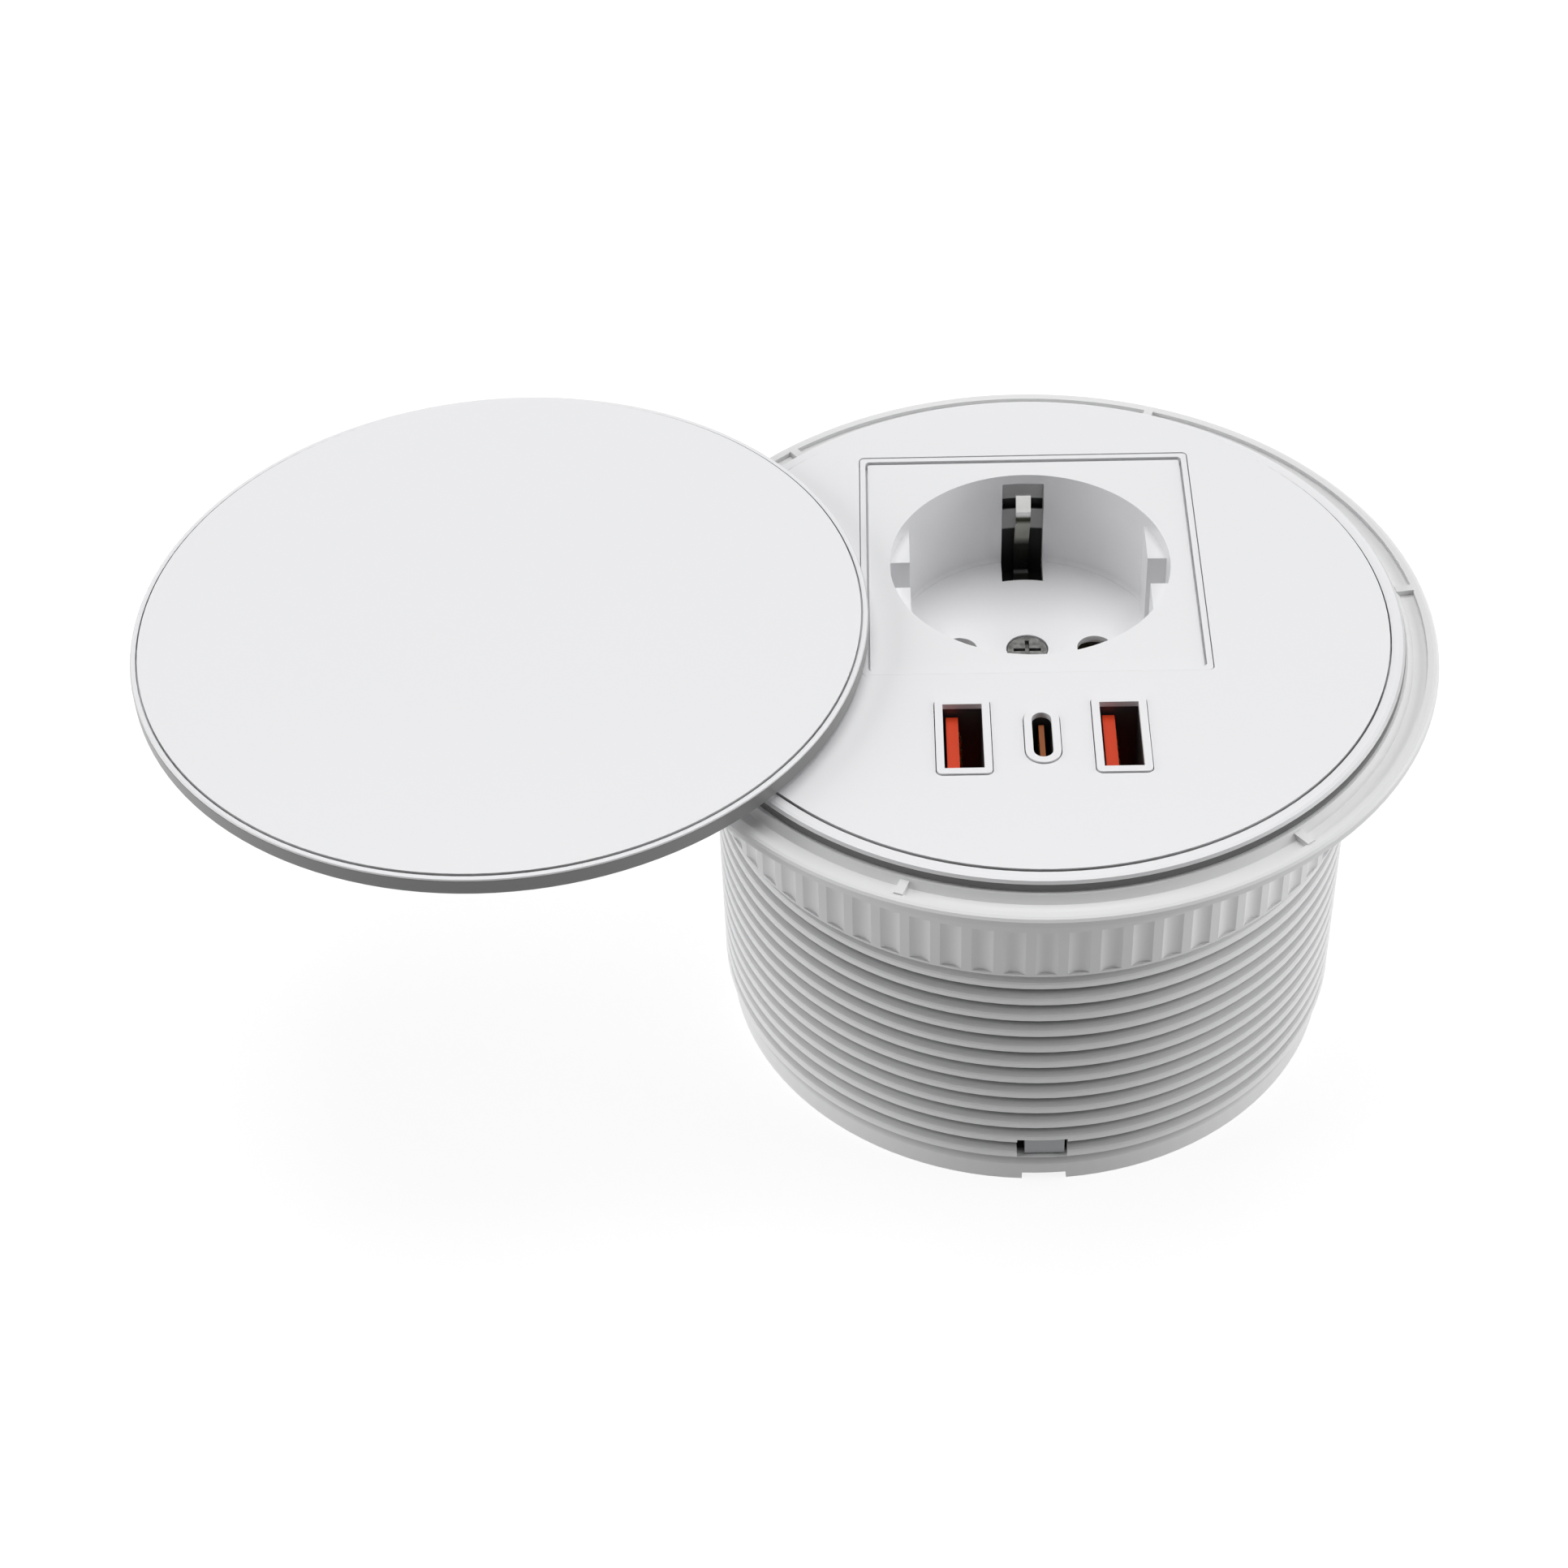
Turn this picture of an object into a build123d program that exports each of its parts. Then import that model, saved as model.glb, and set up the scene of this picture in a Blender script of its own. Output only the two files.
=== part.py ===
from build123d import *

import os
from math import cos, radians, sin, sqrt

# Round socket outlet that drops into a hole in a worktop. A threaded barrel with a flange hangs
# in the hole and a ring nut clamps it from below. A round head on the flange carries an earthed
# socket insert and three charging ports, and a round cover swivels over it on one upright pin.
# Frame: millimetres, +Z up, z = 0 is the seat plane on the worktop, the Z axis is the barrel's
# axis, -Y is the side of the charging ports, and the cover is swung out towards -X.

# General clearances
FIT = 0.05            # radial gap of a shaft that turns or a pin that sits in its own hole
SLIP = 0.3            # radial gap between parts that drop into each other
SEAM = 0.26           # visible seam round a plate that lies in a recess

# Flange of the barrel
GASKET_T = 0.8
GASKET_INSET = 1.3
GASKET_GAP = 0.7
FLANGE_R = 53.9
LIP_TOP = 2.25
LIP_WALL = 1.6
GROOVE_FLOOR = 1.65
GROOVE_W = 2.2
LEDGE_TOP = 2.65
LEDGE_W = 3.1
LEDGE_FLARE = 0.4
SHELF_TOP = 1.9
FLANGE_EDGE = 0.25
LIP_ROUND = 0.8
RIB_COUNT = 6
RIB_W = 1.2
RIB_TOP = 2.45
RIB_ANGLE = 8.7

# Threaded barrel
BARREL_R = 43.9
THREAD_DEPTH = 1.7
FOOT_INSET = 0.85
FOOT_FLARE = 2.4
BARREL_WALL = 3.1
BARREL_BOTTOM = -60.2
PITCH = 3.08
RIDGE_COUNT = 16
RIDGE_EDGE = 0.12
RIDGE_LAND = 0.85
RIDGE_ROUND = 0.45
RIDGE_SLOPE = 0.4
LAST_RIDGE_Z = -54.8
WINDOW_COUNT = 3
WINDOW_W = 6.9
WINDOW_H = 3.5
WINDOW_Z = -52.85
WINDOW_ANGLE = -89.5
NOTCH_ANGLE = -88.9
NOTCH_W = 6.1
NOTCH_H = 1.2
LUG_INSET = 4.3
LUG_TOP = -9.0
LUG_T = 3.0
LUG_W = 8.0
LUG_L = 9.0
LUG_ANGLES = (20.0, 140.0, 260.0)

# Clamp nut and its washer
NUT_H = 11.2
NUT_BOTTOM = -17.3
NUT_WALL = 1.1
NUT_EDGE = 0.4
NUT_GAP = 0.1
FLUTE_COUNT = 68
FLUTE_W = 2.9
FLUTE_DEPTH = 0.38
CLAMP_WASHER_RIM = 3.0
CLAMP_WASHER_T = 1.9

# Head on the flange
HEAD_TOP = 4.6
HEAD_INSET = 0.75
HEAD_ROUND = 0.9
RIM_W = 2.2
FACE_T = 1.4
FACE_PROUD = 0.25
SPIGOT_T = 2.1
SPIGOT_H = 7.9
BOSS_R = 3.0
SCREW_R = 1.45
SCREW_HEAD_R = 2.75
SCREW_HEAD_H = 1.8
HEAD_SCREW_L = 9.0

# Socket insert
SOCKET_Y = 12.6
INSERT_W = 44.08
INSERT_SEAM = 0.32
INSERT_ROUND = 0.3
INSERT_DROP = 0.4
FRAME_W = 0.77
FRAME_ROUND = 0.6
FRAME_DROP = 0.1
WELL_R = 19.2
WELL_DEPTH = 15.8
WELL_WALL = 1.9
WELL_FLOOR = 2.2
FLAT_X = 16.4
FLAT_DROP = 2.0
KEY_W = 5.35
SLOT_W = 5.9
SLOT_DROP = 1.55
SLOT_FLOOR_R = 15.0
SLOT_GROOVE_TOP = -1.7
SLOT_GROOVE_H = 2.0
SLOT_GROOVE_D = 0.9
PIN_PITCH = 19.0
PIN_HOLE_R = 2.5
PIN_LIP = 0.8
PIN_RELIEF_R = 3.7
CENTRE_HOLE_R = 2.95
CENTRE_HOLE_DEPTH = 1.4
CENTRE_SCREW_L = 12.0
CENTRE_HEAD_H = 1.2

# Contact carrier under the insert
BASE_R = 23.2
BASE_WALL = 1.7
BASE_BOTTOM = -36.0
SLEEVE_R = 3.25
SLEEVE_BORE_R = 2.45
SLEEVE_L = 13.0
SLEEVE_SLIT = 0.7
TAIL_W = 5.0
TAIL_T = 0.8
TERMINAL = 7.0
TERMINAL_Y = -13.0
TERMINAL_TOP = -24.0
TERMINAL_WIRE_R = 1.6
POCKET_GAP = 0.2
STRAP_T = 0.8
STRAP_W = 7.0
STRAP_DROP = 0.8
CLIP_W = 2.1
CLIP_ROOT_R = 20.9
CLIP_NOSE_R = 17.6
CLIP_NOSE_Z = -1.8
CLIP_TIP_R = 18.9
CLIP_TIP_Z = 0.8
CLIP_BEND_Z = -9.4
CLIP_ROUND = 1.2

# Charging ports
PORT_Y = -22.95
PORT_PITCH = 10.2
PORT_A_W = 5.12
PORT_A_L = 12.1
PORT_C_W = 2.56
PORT_C_L = 8.34
COLLAR_WALL = 1.02
COLLAR_PROUD = 0.25
COLLAR_ROUND = 0.8
COLLAR_LIP = 0.85
SHELL_T = 0.3
BEZEL_W = 34.0
BEZEL_L = 19.4
BEZEL_T = 1.3
PORT_BOARD_Z = -12.4
PORT_BOARD_L = 16.6
PORT_BOARD_Y = -22.2
BOARD_T = 1.6
BLADE_A_T = 1.6
BLADE_A_L = 11.3
BLADE_A_X = -1.32
BLADE_A_DROP = 2.0
BLADE_C_T = 0.7
BLADE_C_L = 6.7
BLADE_C_DROP = 1.5
CORE_H = 3.0
CORE_GAP = 0.06

# Power board
POWER_BOARD_W = 56.0
POWER_BOARD_Y = -13.2
POWER_BOARD_BOTTOM = -46.0
POWER_BOARD_GAP = 0.4
RAIL_W = 3.4
RAIL_D = 4.6
LINK_PIN_COUNT = 6
LINK_PIN_PITCH = 2.54
LINK_PIN_W = 0.64
LINK_PIN_DROP = 5.0
TRANSFORMER = (18.0, 14.0, 16.0)
PART_GAP = 1.5
TRANSFORMER_Z = -30.0
CORE_LEG = 5.0
MAINS_CAP_R = 5.0
MAINS_CAP_L = 15.0
MAINS_CAP_INSET = 8.5
MAINS_CAP_Z = -30.0
OUTPUT_CAP_R = 3.5
OUTPUT_CAP_L = 11.0
OUTPUT_CAP_INSET = 13.0
OUTPUT_CAP_PITCH = 9.0
OUTPUT_CAP_Z = -29.0

# Cover and its pivot
COVER_INSET = 0.05
COVER_GAP = 0.54
COVER_H = 2.66
COVER_ROUND = 0.35
COVER_FOOT_ROUND = 0.25
INLAY_INSET = 1.0
INLAY_T = 0.9
INLAY_PROUD = 0.2
PIVOT_INSET = 5.05
OPEN_ANGLE = 2.2
PIN_R = 2.5
PIN_HEAD_R = 5.5
PIN_HEAD_T = 0.9
BUSH_R = 3.5
PIVOT_BOSS_R = 4.7
BUSH_BOTTOM = -10.4
WASHER_R = 6.0
WASHER_GAP = 0.04
SPRING_R = 4.4
SPRING_H = 1.1
SPRING_T = 0.5
SPRING_GAP = 0.1
LOCK_NUT_AF = 8.0
LOCK_NUT_H = 4.0
PIN_END = 0.8

# Bottom cap and cord inlet
CAP_INSET = 0.8
CAP_T = 2.2
CAP_RING_T = 1.9
CAP_RING_H = 11.0
TONGUE_SLIT = 0.8
TONGUE_H = 8.0
HOOK_GAP = 0.35
HOOK_W = 5.4
HOOK_SHIFT = 0.35
HOOK_INSET = 0.5
INLET_Y = -21.0
INLET_R = 6.2
CORD_R = 4.2
GROMMET_FLANGE_R = 7.8
GROMMET_FLANGE_T = 1.6
TOWER_W = 24.0
TOWER_T = 4.5
TOWER_H = 10.6
CLAMP_T = 4.0
CLAMP_H = 6.0
CLAMP_SCREW_X = 8.6
CLAMP_SCREW_L = 15.0

# Heights and radii that follow from the sizes above
lip_bore_r = FLANGE_R - LIP_WALL
ledge_r = lip_bore_r - GROOVE_W
shelf_r = ledge_r - LEDGE_W
gasket_r = FLANGE_R - GASKET_INSET
bore_r = BARREL_R - BARREL_WALL
root_r = BARREL_R - THREAD_DEPTH
foot_r = BARREL_R - FOOT_INSET
lug_r = bore_r - LUG_INSET
nut_r = BARREL_R + NUT_WALL
hook_r = BARREL_R - HOOK_INSET
head_r = ledge_r - HEAD_INSET
face_r = head_r - RIM_W
cover_r = head_r - COVER_INSET
inlay_r = cover_r - INLAY_INSET
pivot_x = PIVOT_INSET - bore_r
flange_bottom = GASKET_T
web_bottom = SHELF_TOP
face_bottom = HEAD_TOP - FACE_T
rim_top = HEAD_TOP - FACE_PROUD
insert_top = HEAD_TOP - INSERT_DROP
well_floor_z = insert_top - WELL_DEPTH
well_bottom = well_floor_z - WELL_FLOOR
well_outer_r = WELL_R + WELL_WALL
spigot_r = bore_r - SLIP
nut_top = NUT_BOTTOM + NUT_H
nut_bore_r = BARREL_R + NUT_GAP
strap_top = well_bottom - STRAP_DROP
port_top = HEAD_TOP + COLLAR_PROUD
port_board_top = PORT_BOARD_Z + BOARD_T
bezel_bottom = web_bottom - BEZEL_T
cover_bottom = HEAD_TOP + COVER_GAP
cover_top = cover_bottom + COVER_H
inlay_bottom = cover_top - INLAY_T
frame_outer = INSERT_W + 2 * (INSERT_SEAM + FRAME_W)
cap_bottom = BARREL_BOTTOM + CAP_INSET
cap_top = cap_bottom + CAP_T
cap_r = bore_r - SLIP
cover_centre = (
    pivot_x - abs(pivot_x) * cos(radians(OPEN_ANGLE)),
    -abs(pivot_x) * sin(radians(OPEN_ANGLE)),
)
nodes = []


def finish(part, label):
    """Name a finished piece and keep it for the export."""
    part.label = label
    nodes.append(part)


def on_circle(radius, angle):
    """Point on a circle about the barrel's axis."""
    return radius * cos(radians(angle)), radius * sin(radians(angle))


def edge_round(radius, height, size, side):
    """Points of a rounded outer edge, from the wall to the face; side is 1 on top and -1 below."""
    turns = (0.0, 30.0, 60.0, 90.0)
    return [
        (
            radius - size + size * cos(radians(turn)),
            height - side * size + side * size * sin(radians(turn)),
        )
        for turn in turns
    ]


def socket_plane(z):
    """Level plane at height z, centred on the socket insert."""
    return Plane.XY.offset(z).move(Location((0, SOCKET_Y, 0)))


def port_plane(z, x=0.0):
    """Level plane at height z, centred on one charging port."""
    return Plane.XY.offset(z).move(Location((x, PORT_Y, 0)))


def pivot_plane(z):
    """Level plane at height z, centred on the cover's pivot pin."""
    return Plane.XY.offset(z).move(Location((pivot_x, 0, 0)))


def cover_plane(z):
    """Level plane at height z, centred on the cover as it stands open."""
    return Plane.XY.offset(z).move(Location((cover_centre[0], cover_centre[1], 0)))


# Barrel: one moulding of flange, threaded tube, snap windows and screw lugs
def barrel_outline():
    """Half section of the barrel, from the bore's foot up the outside and back."""
    points = [
        (bore_r, BARREL_BOTTOM), (foot_r, BARREL_BOTTOM), (foot_r, LAST_RIDGE_Z - FOOT_FLARE),
    ]
    for index in range(RIDGE_COUNT):
        foot = LAST_RIDGE_Z + index * PITCH
        crest = foot + RIDGE_LAND + RIDGE_ROUND
        points += [
            (root_r, foot),
            (BARREL_R - RIDGE_EDGE, foot),
            (BARREL_R, foot + RIDGE_EDGE),
            (BARREL_R, foot + RIDGE_LAND),
            (BARREL_R - RIDGE_ROUND / 3, crest - RIDGE_ROUND / 3),
            (BARREL_R - RIDGE_ROUND, crest),
            (root_r, crest + RIDGE_SLOPE),
        ]
    collar_bottom = LAST_RIDGE_Z + RIDGE_COUNT * PITCH
    points += [
        (root_r, collar_bottom),
        (BARREL_R, collar_bottom),
        (BARREL_R, flange_bottom),
        (FLANGE_R - FLANGE_EDGE, flange_bottom),
        (FLANGE_R, flange_bottom + FLANGE_EDGE),
        *edge_round(FLANGE_R, LIP_TOP, LIP_ROUND, 1),
        (lip_bore_r, LIP_TOP),
        (lip_bore_r, GROOVE_FLOOR),
        (ledge_r + LEDGE_FLARE, GROOVE_FLOOR),
        (ledge_r - LEDGE_FLARE, LEDGE_TOP),
        (shelf_r, LEDGE_TOP),
        (shelf_r, SHELF_TOP),
        (bore_r, SHELF_TOP),
    ]
    return points


with BuildPart() as housing_barrel:
    with BuildSketch(Plane.XZ):
        with BuildLine():
            Polyline(*barrel_outline(), close=True)
        make_face()
    revolve(axis=Axis.Z)
    with BuildSketch(Plane.XY.offset(GROOVE_FLOOR)):
        with PolarLocations((ledge_r + lip_bore_r) / 2, RIB_COUNT, start_angle=RIB_ANGLE):
            Rectangle(lip_bore_r - ledge_r + FLANGE_EDGE, RIB_W)
    extrude(amount=RIB_TOP - GROOVE_FLOOR)
    with BuildSketch(Plane.XY.offset(LUG_TOP)):
        for lug_angle in LUG_ANGLES:
            with Locations(Location((*on_circle(lug_r, lug_angle), 0), (0, 0, lug_angle))):
                Rectangle(LUG_L, LUG_W)
        Circle(bore_r + FLANGE_EDGE, mode=Mode.INTERSECT)
    extrude(amount=-LUG_T)
    for lug_angle in LUG_ANGLES:
        with Locations((*on_circle(lug_r, lug_angle), LUG_TOP - LUG_T / 2)):
            Cylinder(SCREW_R + SLIP, 2 * LUG_T, mode=Mode.SUBTRACT)
    with PolarLocations(BARREL_R, WINDOW_COUNT, start_angle=WINDOW_ANGLE):
        with Locations((0, 0, WINDOW_Z)):
            Box(4 * SPIGOT_T, WINDOW_W, WINDOW_H, mode=Mode.SUBTRACT)
    with PolarLocations(BARREL_R, WINDOW_COUNT, start_angle=NOTCH_ANGLE):
        with Locations((0, 0, BARREL_BOTTOM)):
            Box(4 * SPIGOT_T, NOTCH_W, 2 * NOTCH_H, mode=Mode.SUBTRACT)
finish(housing_barrel.part, "housing_barrel")

with BuildPart() as flange_gasket:
    with BuildSketch():
        Circle(gasket_r)
        Circle(BARREL_R + GASKET_GAP, mode=Mode.SUBTRACT)
    extrude(amount=GASKET_T)
finish(flange_gasket.part, "flange_gasket")


# Clamp nut: a fluted ring that turns on the barrel, under a plain washer that only slides
flute_r = (FLUTE_W ** 2 / 4 + FLUTE_DEPTH ** 2) / (2 * FLUTE_DEPTH)

with BuildPart() as clamp_nut:
    with BuildSketch(Plane.XZ):
        with BuildLine():
            Polyline(
                (nut_bore_r, NUT_BOTTOM), (nut_r, NUT_BOTTOM), (nut_r, nut_top), (nut_bore_r, nut_top),
                close=True,
            )
        make_face()
    revolve(axis=Axis.Z)
    with BuildSketch(Plane.XY.offset(NUT_BOTTOM + NUT_EDGE)):
        with PolarLocations(nut_r - FLUTE_DEPTH + flute_r, FLUTE_COUNT):
            Circle(flute_r)
    extrude(amount=NUT_H, mode=Mode.SUBTRACT)
finish(clamp_nut.part, "clamp_nut")

with BuildPart() as clamp_washer:
    with BuildSketch(Plane.XY.offset(nut_top + NUT_GAP)):
        Circle(nut_r + CLAMP_WASHER_RIM)
        Circle(nut_bore_r, mode=Mode.SUBTRACT)
    extrude(amount=CLAMP_WASHER_T)
finish(clamp_washer.part, "clamp_washer")


# Head frame: round bezel, web, spigot in the barrel's bore, bosses and rails
def head_outline():
    """Half section of the bezel and web."""
    rim_inner = face_r + SEAM
    return [
        (rim_inner, rim_top), (rim_inner, face_bottom), (0, face_bottom), (0, web_bottom),
        (shelf_r - SEAM, web_bottom), (shelf_r - SEAM, LEDGE_TOP),
        (head_r - FLANGE_EDGE, LEDGE_TOP), (head_r, LEDGE_TOP + FLANGE_EDGE),
        *edge_round(head_r, rim_top, HEAD_ROUND, 1),
    ]


def bezel_openings(gap):
    """Outlines of the three port collars, each wider by gap all round."""
    with Locations((-PORT_PITCH, 0), (PORT_PITCH, 0)):
        RectangleRounded(
            PORT_A_W + 2 * (COLLAR_WALL + gap), PORT_A_L + 2 * (COLLAR_WALL + gap),
            COLLAR_ROUND + gap,
        )
    c_width = PORT_C_W + 2 * (COLLAR_WALL + gap)
    SlotOverall(PORT_C_L + 2 * (COLLAR_WALL + gap), c_width, rotation=90)


rail_x = POWER_BOARD_W / 2
rail_bottom = POWER_BOARD_BOTTOM

with BuildPart() as head_frame:
    with BuildSketch(Plane.XZ):
        with BuildLine():
            Polyline(*head_outline(), close=True)
        make_face()
    revolve(axis=Axis.Z)
    with BuildSketch(Plane.XY.offset(web_bottom)):
        Circle(spigot_r)
        Circle(spigot_r - SPIGOT_T, mode=Mode.SUBTRACT)
    extrude(amount=-SPIGOT_H)
    with BuildSketch(Plane.XY.offset(web_bottom)):
        for lug_angle in LUG_ANGLES:
            with Locations(on_circle(lug_r, lug_angle)):
                Circle(BOSS_R)
    extrude(amount=LUG_TOP - web_bottom)
    with BuildSketch(pivot_plane(web_bottom)):
        Circle(PIVOT_BOSS_R)
    extrude(amount=BUSH_BOTTOM + COVER_GAP - web_bottom)
    with BuildSketch(Plane.XY.offset(web_bottom)):
        with Locations((-rail_x, POWER_BOARD_Y + BOARD_T / 2), (rail_x, POWER_BOARD_Y + BOARD_T / 2)):
            Rectangle(RAIL_W, RAIL_D)
    extrude(amount=rail_bottom - web_bottom)
    with BuildSketch(Plane.XY.offset(PORT_BOARD_Z)):
        with Locations((0, POWER_BOARD_Y + BOARD_T / 2)):
            Rectangle(POWER_BOARD_W + 2 * SEAM, BOARD_T + 2 * SEAM)
    extrude(amount=rail_bottom - PORT_BOARD_Z - BOARD_T, mode=Mode.SUBTRACT)
    with BuildSketch(socket_plane(web_bottom)):
        Circle(well_outer_r + SLIP)
    extrude(amount=FACE_T, mode=Mode.SUBTRACT)
    with BuildSketch(port_plane(web_bottom)):
        bezel_openings(SEAM / 2)
    extrude(amount=FACE_T, mode=Mode.SUBTRACT)
    for lug_angle in LUG_ANGLES:
        with Locations((*on_circle(lug_r, lug_angle), LUG_TOP + BOSS_R)):
            Cylinder(SCREW_R + FIT, 2 * BOSS_R, mode=Mode.SUBTRACT)
    with BuildSketch(pivot_plane(face_bottom)):
        Circle(BUSH_R + FIT)
    extrude(amount=BUSH_BOTTOM - face_bottom, mode=Mode.SUBTRACT)
finish(head_frame.part, "head_frame")

with BuildPart() as face_plate:
    with BuildSketch(Plane.XY.offset(face_bottom)):
        Circle(face_r)
        with Locations((0, SOCKET_Y)):
            RectangleRounded(
                frame_outer + SEAM, frame_outer + SEAM, FRAME_ROUND + SEAM / 2, mode=Mode.SUBTRACT
            )
        with Locations((pivot_x, 0)):
            Circle(BUSH_R + FIT, mode=Mode.SUBTRACT)
    extrude(amount=FACE_T)
    with BuildSketch(port_plane(face_bottom)):
        bezel_openings(SEAM / 2)
    extrude(amount=FACE_T, mode=Mode.SUBTRACT)
finish(face_plate.part, "face_plate")

with BuildPart() as head_screws:
    for lug_angle in LUG_ANGLES:
        screw_x, screw_y = on_circle(lug_r, lug_angle)
        with Locations((screw_x, screw_y, LUG_TOP - LUG_T)):
            Cylinder(SCREW_HEAD_R, SCREW_HEAD_H, align=(Align.CENTER, Align.CENTER, Align.MAX))
            Cylinder(SCREW_R, HEAD_SCREW_L, align=(Align.CENTER, Align.CENTER, Align.MIN))
finish(head_screws.part, "head_screws")


# Socket insert: thin frame, square cover with its well, earth strap, contacts and carrier
with BuildPart() as insert_frame:
    with BuildSketch(socket_plane(face_bottom)):
        RectangleRounded(frame_outer, frame_outer, FRAME_ROUND)
        RectangleRounded(
            INSERT_W + 2 * INSERT_SEAM, INSERT_W + 2 * INSERT_SEAM, INSERT_ROUND + INSERT_SEAM,
            mode=Mode.SUBTRACT,
        )
    extrude(amount=FACE_T - FRAME_DROP)
finish(insert_frame.part, "insert_frame")

well_open = insert_top - well_floor_z

with BuildPart() as socket_cover:
    with BuildSketch(socket_plane(face_bottom)):
        RectangleRounded(INSERT_W, INSERT_W, INSERT_ROUND)
    extrude(amount=FACE_T - INSERT_DROP)
    with BuildSketch(socket_plane(well_bottom)):
        Circle(well_outer_r)
    extrude(amount=face_bottom - well_bottom)
    with BuildSketch(socket_plane(well_floor_z)):
        Circle(WELL_R)
        Rectangle(2 * FLAT_X, 2 * WELL_R, mode=Mode.INTERSECT)
    extrude(amount=well_open, mode=Mode.SUBTRACT)
    with BuildSketch(socket_plane(well_floor_z)):
        Circle(WELL_R)
        Rectangle(2 * WELL_R, KEY_W, mode=Mode.INTERSECT)
    extrude(amount=well_open, mode=Mode.SUBTRACT)
    with BuildSketch(socket_plane(insert_top)):
        Circle(WELL_R)
    extrude(amount=-FLAT_DROP, mode=Mode.SUBTRACT)
    with BuildSketch(socket_plane(well_bottom)):
        Rectangle(SLOT_W, 2 * well_outer_r)
        Circle(SLOT_FLOOR_R, mode=Mode.SUBTRACT)
    extrude(amount=insert_top - SLOT_DROP - well_bottom, mode=Mode.SUBTRACT)
    with BuildSketch(socket_plane(well_bottom)):
        with Locations((-PIN_PITCH / 2, 0), (PIN_PITCH / 2, 0)):
            Circle(PIN_HOLE_R)
        Circle(SCREW_R + SLIP)
    extrude(amount=WELL_FLOOR, mode=Mode.SUBTRACT)
    with BuildSketch(socket_plane(well_bottom)):
        with Locations((-PIN_PITCH / 2, 0), (PIN_PITCH / 2, 0)):
            Circle(PIN_RELIEF_R)
    extrude(amount=WELL_FLOOR - PIN_LIP, mode=Mode.SUBTRACT)
    with BuildSketch(socket_plane(well_floor_z)):
        Circle(CENTRE_HOLE_R)
    extrude(amount=-CENTRE_HOLE_DEPTH, mode=Mode.SUBTRACT)
finish(socket_cover.part, "socket_cover")

screw_seat = well_floor_z - CENTRE_HOLE_DEPTH

with BuildPart() as centre_screw:
    with BuildSketch(socket_plane(screw_seat)):
        Circle(SCREW_HEAD_R)
    extrude(amount=CENTRE_HEAD_H)
    with BuildSketch(socket_plane(screw_seat)):
        Circle(SCREW_R)
    extrude(amount=-CENTRE_SCREW_L)
    with BuildSketch(socket_plane(screw_seat + CENTRE_HEAD_H)):
        Rectangle(1.4 * SCREW_HEAD_R, CENTRE_HEAD_H / 2)
        Rectangle(CENTRE_HEAD_H / 2, 1.4 * SCREW_HEAD_R)
    extrude(amount=-CENTRE_HEAD_H / 2, mode=Mode.SUBTRACT)
finish(centre_screw.part, "centre_screw")

strap_bottom = strap_top - STRAP_T
strap_middle = strap_top - STRAP_T / 2
socket_yz = Plane((0, SOCKET_Y, 0), x_dir=(0, 1, 0), z_dir=(1, 0, 0))


def clip_path(side):
    """Centre line of one sprung earth clip, from the strap up to its curled tip."""
    return FilletPolyline(
        (0, strap_middle), (side * CLIP_ROOT_R, strap_middle), (side * CLIP_ROOT_R, CLIP_BEND_Z),
        (side * CLIP_NOSE_R, CLIP_NOSE_Z), (side * CLIP_TIP_R, CLIP_TIP_Z), radius=CLIP_ROUND,
    )


with BuildPart() as earth_strap:
    for side in (-1, 1):
        with BuildSketch(socket_yz):
            with BuildLine():
                clip_path(side)
            trace(line_width=STRAP_T)
        extrude(amount=CLIP_W / 2, both=True)
    with BuildSketch(socket_plane(strap_bottom)):
        Rectangle(STRAP_W, 2 * SLOT_FLOOR_R)
    extrude(amount=STRAP_T)
    with BuildSketch(socket_plane(strap_bottom)):
        with Locations((0, TERMINAL_Y)):
            Rectangle(TERMINAL, TERMINAL)
    extrude(amount=TERMINAL_TOP - TERMINAL - strap_bottom)
    with BuildSketch(socket_plane(strap_top)):
        Circle(SCREW_R + SLIP)
    extrude(amount=-STRAP_T, mode=Mode.SUBTRACT)
    with BuildSketch(socket_plane(TERMINAL_TOP - TERMINAL)):
        with Locations((0, TERMINAL_Y)):
            Circle(SCREW_R + FIT)
    extrude(amount=TERMINAL, mode=Mode.SUBTRACT)
    with Locations(Location((0, SOCKET_Y + TERMINAL_Y, TERMINAL_TOP - TERMINAL / 3), (90, 0, 0))):
        Cylinder(TERMINAL_WIRE_R, TERMINAL + STRAP_T, mode=Mode.SUBTRACT)
finish(earth_strap.part, "earth_strap")

sleeve_top = well_bottom - STRAP_DROP - STRAP_T
sleeve_bottom = sleeve_top - SLEEVE_L


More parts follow.
